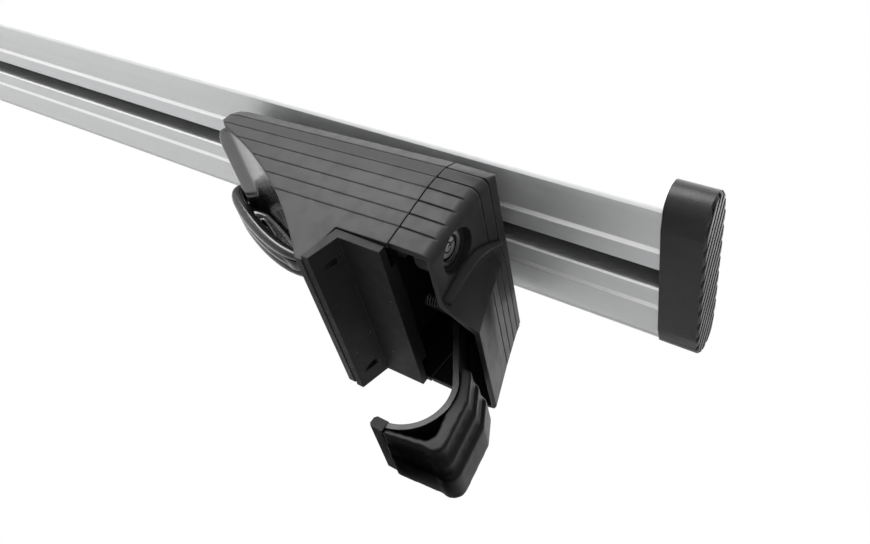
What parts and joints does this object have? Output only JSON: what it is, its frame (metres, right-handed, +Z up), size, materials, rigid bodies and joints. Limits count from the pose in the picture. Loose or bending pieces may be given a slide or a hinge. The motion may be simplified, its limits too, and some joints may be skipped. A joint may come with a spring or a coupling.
{
  "type": "roof rack crossbar",
  "caption": "Wide aluminium roof crossbar with clamping feet: rubber seats, screw-driven jaws, lockable end covers, slotted underside and plastic end caps.",
  "frame": {"origin": "middle of the bar's length and width, in the plane of its underside, at the mouth of the lower slot", "axes": "+X along the bar towards the end the picture shows, +Y across the bar, away from the side the picture shows, +Z up, from the feet towards the load"},
  "size_m": [1.198, 0.0896, 0.1167],
  "materials": {
    "bar_aluminium": "satin anodised, drawn along its length",
    "strip_rubber": "matt",
    "cap_plastic": "satin moulded",
    "shell_plastic": "fine grained",
    "panel_plastic": "smooth and glossy",
    "frame_paint": "cast, painted black",
    "pad_rubber": "matt",
    "plated_steel": "zinc plated",
    "strap_paint": "steel, powder coated black",
    "jaw_plastic": "satin moulded",
    "lock_chrome": "satin chrome"
  },
  "bodies": {
    "bar": {"bar_profile": "bar_aluminium", "top_strip": "strip_rubber", "end_cap_right": "cap_plastic", "end_cap_left": "cap_plastic"},
    "foot_right": {"foot_shell_right": "shell_plastic", "inner_cover_right": "panel_plastic", "foot_frame_right": "frame_paint", "saddle_pad_right": "pad_rubber", "rail_pad_right": "pad_rubber", "tee_bolts_right": "plated_steel", "bolt_washers_right": "plated_steel", "bolt_nuts_right": "plated_steel", "clamp_nut_right": "plated_steel"},
    "cover_right": {"end_cover_right": "shell_plastic", "lock_housing_right": "lock_chrome"},
    "lock_right": {"lock_barrel_right": "lock_chrome", "lock_cam_right": "plated_steel"},
    "jaw_right": {"jaw_strap_right": "strap_paint", "jaw_cover_right": "jaw_plastic", "jaw_tip_right": "pad_rubber"},
    "screw_right": {"clamp_screw_right": "plated_steel", "screw_washer_right": "plated_steel"},
    "foot_left": {"foot_shell_left": "shell_plastic", "inner_cover_left": "panel_plastic", "foot_frame_left": "frame_paint", "saddle_pad_left": "pad_rubber", "rail_pad_left": "pad_rubber", "tee_bolts_left": "plated_steel", "bolt_washers_left": "plated_steel", "bolt_nuts_left": "plated_steel", "clamp_nut_left": "plated_steel"},
    "cover_left": {"end_cover_left": "shell_plastic", "lock_housing_left": "lock_chrome"},
    "lock_left": {"lock_barrel_left": "lock_chrome", "lock_cam_left": "plated_steel"},
    "jaw_left": {"jaw_strap_left": "strap_paint", "jaw_cover_left": "jaw_plastic", "jaw_tip_left": "pad_rubber"},
    "screw_left": {"clamp_screw_left": "plated_steel", "screw_washer_left": "plated_steel"}
  },
  "joints": [
    {"name": "foot_right_slide", "type": "slide", "parent": "bar", "child": "foot_right", "axis": [1, 0, 0], "range_m": [-0.1, 0.03]},
    {"name": "cover_right_pull", "type": "slide", "parent": "foot_right", "child": "cover_right", "axis": [1, 0, 0], "range_m": [0, 0.025]},
    {"name": "lock_right_turn", "type": "hinge", "parent": "cover_right", "child": "lock_right", "pos_m": [0.5223, -0.031, -0.04], "axis": [1, 0, 0], "range_deg": [0, 90]},
    {"name": "jaw_right_slide", "type": "slide", "parent": "foot_right", "child": "jaw_right", "axis": [-1, 0, 0], "range_m": [0, 0.016]},
    {"name": "screw_right_turn", "type": "hinge", "parent": "jaw_right", "child": "screw_right", "pos_m": [0.52025, 0.018, -0.031], "axis": [-1, 0, 0], "range_deg": [0, 4608]},
    {"name": "foot_left_slide", "type": "slide", "parent": "bar", "child": "foot_left", "axis": [-1, 0, 0], "range_m": [-0.1, 0.03]},
    {"name": "cover_left_pull", "type": "slide", "parent": "foot_left", "child": "cover_left", "axis": [-1, 0, 0], "range_m": [0, 0.025]},
    {"name": "lock_left_turn", "type": "hinge", "parent": "cover_left", "child": "lock_left", "pos_m": [-0.5223, 0.031, -0.04], "axis": [-1, 0, 0], "range_deg": [0, 90]},
    {"name": "jaw_left_slide", "type": "slide", "parent": "foot_left", "child": "jaw_left", "axis": [1, 0, 0], "range_m": [0, 0.016]},
    {"name": "screw_left_turn", "type": "hinge", "parent": "jaw_left", "child": "screw_left", "pos_m": [-0.52025, -0.018, -0.031], "axis": [1, 0, 0], "range_deg": [0, 4608]}
  ],
  "couplings": [
    {"joint": "screw_right_turn", "follows": "jaw_right_slide", "rad_per_m": 5026.5},
    {"joint": "screw_left_turn", "follows": "jaw_left_slide", "rad_per_m": 5026.5}
  ]
}
